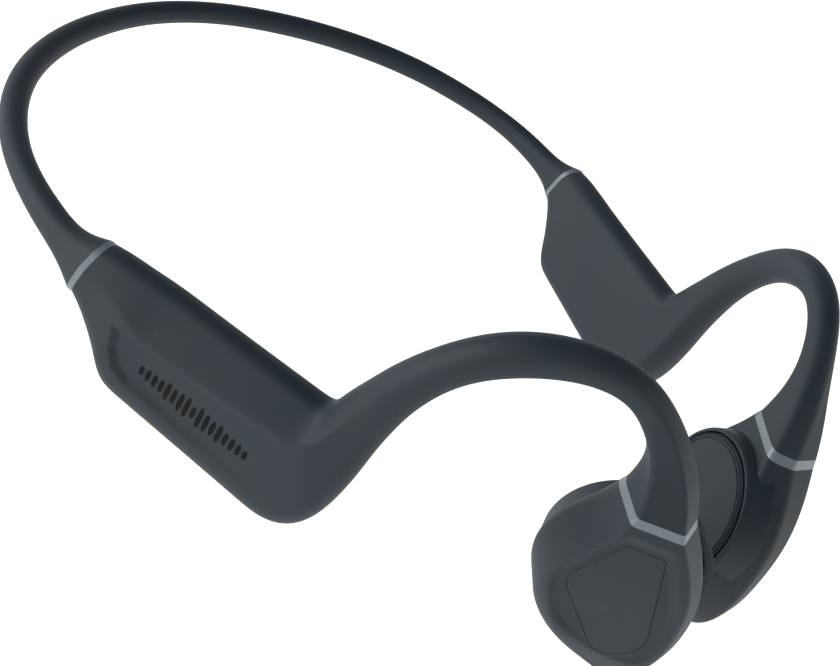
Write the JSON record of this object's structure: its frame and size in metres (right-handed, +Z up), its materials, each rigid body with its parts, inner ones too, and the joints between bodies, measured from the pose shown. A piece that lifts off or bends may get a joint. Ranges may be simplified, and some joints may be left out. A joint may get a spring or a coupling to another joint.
{
  "type": "bone conduction headphones",
  "caption": "Open-ear wireless headphones with a sprung neckband, ear hooks, side pods and vibrating transducers that rest on the cheekbones.",
  "frame": {"origin": "centre of the bounding box at the level of the pods' undersides, where the headphones rest", "axes": "+Z up, the wearer faces -Y, +X towards the wearer's left, the neckband's back at +Y"},
  "size_m": [0.1306, 0.1584, 0.0558],
  "materials": {
    "sleeve": "matte, soft to the touch",
    "skin": "matte, soft to the touch",
    "trim": "satin light grey",
    "housing": "matte, fine grain",
    "pad": "matte silicone",
    "case": "moulded",
    "spring_wire": "drawn wire",
    "cable": "insulated",
    "button": "matte",
    "board": "coated circuit board",
    "chip": "moulded package",
    "flex": "film",
    "cell": "foil pouch",
    "foam": "soft foam",
    "gold": "plated",
    "light": "clear",
    "screw": "blackened",
    "magnet": "nickel plated",
    "copper": "enamelled copper wire",
    "spring_plate": "rolled sheet"
  },
  "bodies": {
    "left_side": {"arm_skin_left": "skin", "battery_cell": "cell", "battery_foam": "foam", "battery_guard_board": "board", "case_screws_left": "screw", "drive_magnet_left": "magnet", "hook_cable_left": "cable", "hook_wire_left": "spring_wire", "magnet_cup_left": "magnet", "multifunction_board": "board", "multifunction_switch": "chip", "neckband_cable": "cable", "neckband_sleeve": "sleeve", "neckband_wire": "spring_wire", "pod_case_inner_left": "case", "pod_case_outer_left": "case", "pod_ring_left": "trim", "surround_ring_left": "pad", "transducer_collar_left": "housing", "transducer_ring_left": "trim", "transducer_shell_left": "housing"},
    "right_side": {"antenna": "flex", "arm_skin_right": "skin", "bluetooth_chip": "chip", "button_flex": "flex", "button_switches": "chip", "case_screws_right": "screw", "charge_contacts": "gold", "charge_magnets": "magnet", "drive_magnet_right": "magnet", "hook_cable_right": "cable", "hook_wire_right": "spring_wire", "magnet_cup_right": "magnet", "main_board": "board", "microphone": "chip", "pod_case_inner_right": "case", "pod_case_outer_right": "case", "pod_ring_right": "trim", "power_chip": "chip", "status_light_pipe": "light", "surround_ring_right": "pad", "transducer_collar_right": "housing", "transducer_cover": "housing", "transducer_ring_right": "trim", "transducer_shell_right": "housing"},
    "drive_left": {"contact_pad_left": "pad", "flexure_plate_left": "spring_plate", "voice_coil_left": "copper"},
    "drive_right": {"contact_pad_right": "pad", "flexure_plate_right": "spring_plate", "voice_coil_right": "copper"},
    "power_button": {"power_button": "button"},
    "volume_up": {"volume_up_button": "button"},
    "volume_down": {"volume_down_button": "button"},
    "multifunction": {"multifunction_button": "housing"}
  },
  "joints": [
    {"name": "neckband_flex", "type": "hinge", "parent": "left_side", "child": "right_side", "pos_m": [0, 0.0762, 0.0118], "axis": [0, 0, -1], "range_deg": [-2, 30], "stiffness_Nm_per_rad": 0.3, "deforming": ["neckband_sleeve", "neckband_wire", "neckband_cable"]},
    {"name": "power_press", "type": "slide", "parent": "right_side", "child": "power_button", "axis": [0, 0, 1], "range_m": [0, 0.0004], "stiffness_N_per_m": 1500, "springref_m": -0.0003},
    {"name": "volume_up_press", "type": "slide", "parent": "right_side", "child": "volume_up", "axis": [0, 0, 1], "range_m": [0, 0.0004], "stiffness_N_per_m": 1500, "springref_m": -0.0003},
    {"name": "volume_down_press", "type": "slide", "parent": "right_side", "child": "volume_down", "axis": [0, 0, 1], "range_m": [0, 0.0004], "stiffness_N_per_m": 1500, "springref_m": -0.0003},
    {"name": "multifunction_press", "type": "slide", "parent": "left_side", "child": "multifunction", "axis": [-0.7218, 0.6921, 0], "range_m": [0, 0.0003], "stiffness_N_per_m": 2000, "springref_m": -0.0003},
    {"name": "drive_right_buzz", "type": "slide", "parent": "right_side", "child": "drive_right", "axis": [0.7986, 0.6018, 0], "range_m": [-0.00015, 0.00015], "stiffness_N_per_m": 20000},
    {"name": "drive_left_buzz", "type": "slide", "parent": "left_side", "child": "drive_left", "axis": [-0.7986, 0.6018, 0], "range_m": [-0.00015, 0.00015], "stiffness_N_per_m": 20000}
  ]
}
